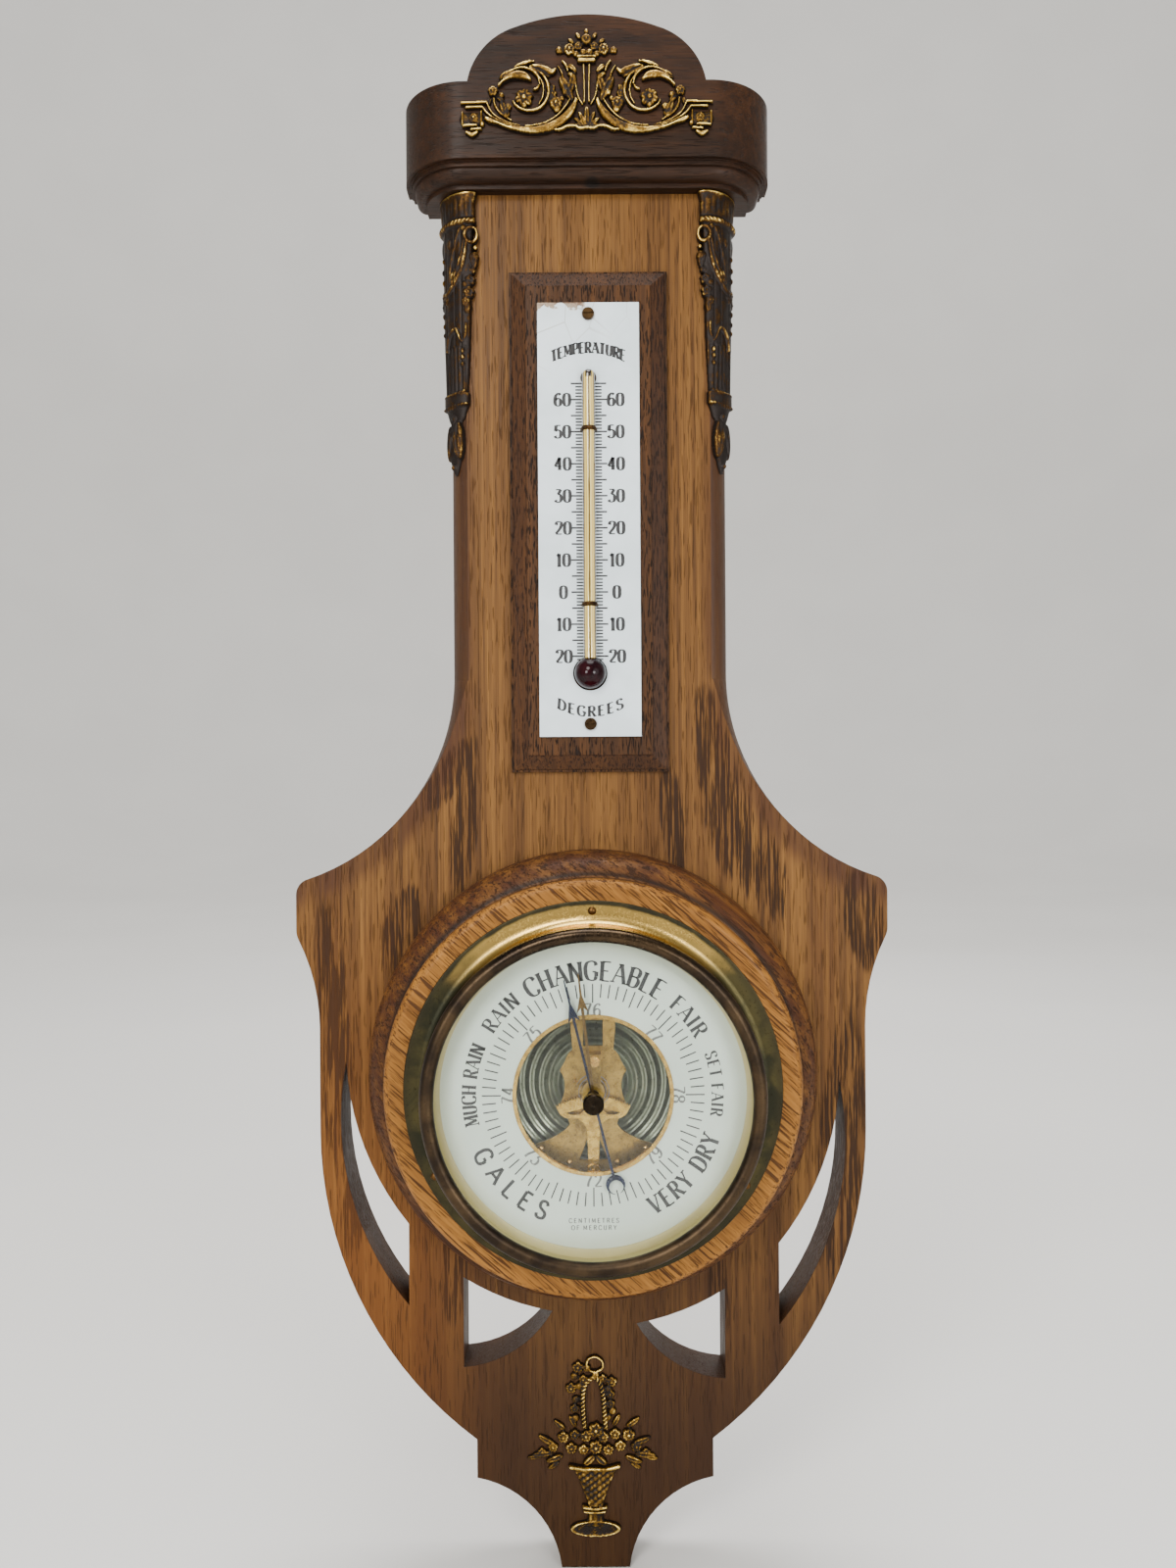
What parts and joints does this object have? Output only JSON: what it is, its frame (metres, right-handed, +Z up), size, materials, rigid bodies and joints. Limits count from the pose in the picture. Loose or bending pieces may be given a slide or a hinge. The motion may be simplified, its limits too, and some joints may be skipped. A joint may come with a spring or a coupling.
{
  "type": "wall barometer",
  "caption": "Fretted oak wall barometer with an enamel-scale thermometer and an aneroid movement seen through a window in its dial.",
  "frame": {"origin": "middle of the hole in the hanger plate, in the plane of the wall", "axes": "+Z up; -Y is the front, where the dial and the thermometer face; +X to the viewer's right"},
  "size_m": [0.219, 0.0663, 0.5672],
  "materials": {
    "oak": "waxed oak, medium brown",
    "stained_oak": "dark stained oak, waxed",
    "panel_oak": "brown stained oak, satin",
    "turned_oak": "turned oak, stained torus, satin",
    "gilt_brass": "pressed brass, old gilding with dark recesses",
    "worn_brass": "pressed brass, dark patina",
    "plate_brass": "dull brass plate",
    "plain_steel": "plain steel, slightly rusted",
    "enamel": "white enamel, glossy",
    "dark_screw": "brass turned dark brown",
    "tube_glass": "drawn glass with a straw tint",
    "bulb_glass": "blown glass full of dark spirit",
    "red_spirit": "dark red spirit",
    "tie_wire": "thin brass wire, dark",
    "bezel_brass": "spun brass, patina at the edge",
    "pin_brass": "brass pins, dark",
    "clear_glass": "clear flat glass",
    "cream_card": "cream card, matte",
    "white_dial": "white dial, satin",
    "rim_brass": "polished brass",
    "case_brass": "spun brass, lacquered",
    "zinc_plate": "zinc plated steel",
    "nickel": "dull nickel plate",
    "movement_brass": "brushed lacquered brass",
    "screw_brass": "polished brass",
    "movement_steel": "bright steel",
    "sector_brass": "bright cut brass",
    "spring_steel": "blued steel spring",
    "blued_steel": "blued steel",
    "hand_brass": "cut brass, satin",
    "knob_brass": "turned knob, almost black"
  },
  "bodies": {
    "case": {"case_board": "oak", "head_block": "stained_oak", "cornice_moulding": "stained_oak", "thermometer_panel": "panel_oak", "dial_surround": "turned_oak", "scroll_ornament": "gilt_brass", "basket_ornament": "gilt_brass", "column_mount_left": "worn_brass", "column_mount_right": "worn_brass", "hanger_plate": "plate_brass", "hanger_screws": "plain_steel", "scale_plate": "enamel", "scale_screws": "dark_screw", "thermometer_tube": "tube_glass", "thermometer_bulb": "bulb_glass", "spirit_column": "red_spirit", "tube_ties": "tie_wire", "bezel": "bezel_brass", "bezel_pins": "pin_brass", "glass": "clear_glass", "sight_ring": "cream_card", "dial": "white_dial", "window_rim": "rim_brass", "movement_case": "case_brass", "case_screws": "case_brass", "base_plate": "zinc_plate", "capsule": "nickel", "lever_bracket": "movement_brass", "bridge_pillars": "movement_brass", "bridge_plate": "movement_brass", "shaft_brackets": "movement_brass", "arbor_cock": "movement_brass", "hairspring_stud": "movement_brass", "bridge_screws": "screw_brass", "bridge_rivets": "screw_brass", "cock_screw": "screw_brass", "hairspring": "spring_steel"},
    "pointer": {"pointer": "blued_steel", "centre_arbor": "movement_steel"},
    "sector": {"sector": "sector_brass"},
    "rocking_shaft": {"rocking_shaft": "movement_steel"},
    "main_lever": {"main_lever": "movement_steel"},
    "capsule_post": {"capsule_post": "movement_brass"},
    "set_hand": {"set_hand": "hand_brass", "set_knob": "knob_brass"},
    "adjusting_screw": {"adjusting_screw": "case_brass"}
  },
  "joints": [
    {"name": "sector_turn", "type": "hinge", "parent": "case", "child": "sector", "pos_m": [0, -0.0465, -0.3697], "axis": [0, 1, 0], "range_deg": [-13.4, 13.4], "stiffness_Nm_per_rad": 0.01},
    {"name": "pointer_turn", "type": "hinge", "parent": "case", "child": "pointer", "pos_m": [0, -0.0551, -0.3418], "axis": [0, 1, 0], "range_deg": [-165, 165]},
    {"name": "rocking_shaft_turn", "type": "hinge", "parent": "case", "child": "rocking_shaft", "pos_m": [0, -0.042, -0.3748], "axis": [1, 0, 0], "range_deg": [-5.3, 5.3]},
    {"name": "main_lever_turn", "type": "hinge", "parent": "case", "child": "main_lever", "pos_m": [0, -0.0407, -0.3078], "axis": [1, 0, 0], "range_deg": [-0.7, 0.7]},
    {"name": "capsule_breath", "type": "slide", "parent": "case", "child": "capsule_post", "axis": [0, -1, 0], "range_m": [-0.0004, 0.0004]},
    {"name": "set_hand_turn", "type": "hinge", "parent": "case", "child": "set_hand", "pos_m": [0, -0.0575, -0.3418], "axis": [0, 1, 0], "continuous": true},
    {"name": "adjusting_turn", "type": "hinge", "parent": "case", "child": "adjusting_screw", "pos_m": [0, -0.0139, -0.3418], "axis": [0, 1, 0], "range_deg": [-360, 360]}
  ],
  "couplings": [
    {"joint": "pointer_turn", "follows": "sector_turn", "ratio": -12.286},
    {"joint": "rocking_shaft_turn", "follows": "sector_turn", "ratio": 0.385},
    {"joint": "main_lever_turn", "follows": "sector_turn", "ratio": -0.0485},
    {"joint": "capsule_breath", "follows": "sector_turn", "m_per_rad": 0.00165}
  ]
}
